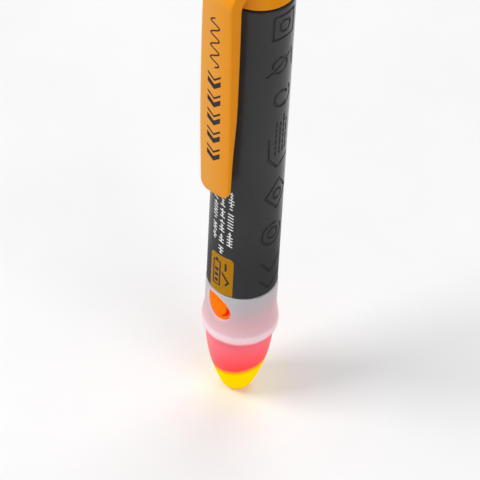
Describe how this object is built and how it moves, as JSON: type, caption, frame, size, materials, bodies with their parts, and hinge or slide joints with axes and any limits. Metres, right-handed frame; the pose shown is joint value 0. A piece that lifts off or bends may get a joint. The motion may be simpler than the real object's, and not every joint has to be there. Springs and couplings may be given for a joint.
{
  "type": "non contact voltage tester",
  "caption": "Pen-shaped non contact voltage tester with a glowing rounded tip, guard bead, check button, round barrel, pull-off cap and pocket clip.",
  "frame": {"origin": "middle of the small flat at the very tip, on the pen's axis", "axes": "+Z along the pen from the tip to the cap, -Y to the side of the clip and the check button, +X to the right when the clip faces the viewer"},
  "size_m": [0.0194, 0.0244, 0.1488],
  "materials": {
    "milky_plastic": "translucent satin",
    "dark_grey_plastic": "fine satin texture",
    "yellow_plastic": "satin",
    "orange_plastic": "satin",
    "black_epoxy": "matte",
    "board_green": "solder mask",
    "capacitor_tan": "matte",
    "red_lens": "clear",
    "tinned_steel": "bright",
    "copper_wire": "bright",
    "chassis_plastic": "moulded",
    "cell_sleeve": "gloss sleeve"
  },
  "bodies": {
    "case": {"nose_shell": "milky_plastic", "barrel": "dark_grey_plastic", "circuit_board": "board_green", "controller_chip": "black_epoxy", "amplifier_chip": "black_epoxy", "sounder": "black_epoxy", "resistor_1": "black_epoxy", "resistor_2": "black_epoxy", "resistor_3": "black_epoxy", "resistor_4": "black_epoxy", "capacitor_1": "capacitor_tan", "capacitor_2": "capacitor_tan", "capacitor_3": "capacitor_tan", "tip_led": "red_lens", "led_lead_1": "tinned_steel", "led_lead_2": "tinned_steel", "sensor_coil": "copper_wire", "switch_body": "black_epoxy", "chassis": "chassis_plastic", "front_contact": "tinned_steel", "return_strip": "tinned_steel"},
    "button": {"check_button": "orange_plastic", "switch_stem": "tinned_steel"},
    "cap": {"rear_cap": "yellow_plastic", "cap_contact": "tinned_steel", "battery_spring": "tinned_steel"},
    "clip": {"pocket_clip": "yellow_plastic"},
    "cells": {"cell_front": "cell_sleeve", "cell_rear": "cell_sleeve"}
  },
  "joints": [
    {"name": "button_press", "type": "slide", "parent": "case", "child": "button", "axis": [0, 1, 0], "range_m": [0, 0.0005], "stiffness_N_per_m": 4000},
    {"name": "cap_pull", "type": "slide", "parent": "case", "child": "cap", "axis": [0, 0, 1], "range_m": [0, 0.11]},
    {"name": "clip_flex", "type": "hinge", "parent": "cap", "child": "clip", "pos_m": [0, -0.0088, 0.1348], "axis": [-1, 0, 0], "range_deg": [0, 5], "stiffness_Nm_per_rad": 7.5},
    {"name": "cells_out", "type": "slide", "parent": "case", "child": "cells", "axis": [0, 0, 1], "range_m": [0, 0.083]}
  ],
  "couplings": [
    {"joint": "cells_out", "follows": "cap_pull", "ratio": 0.75}
  ]
}
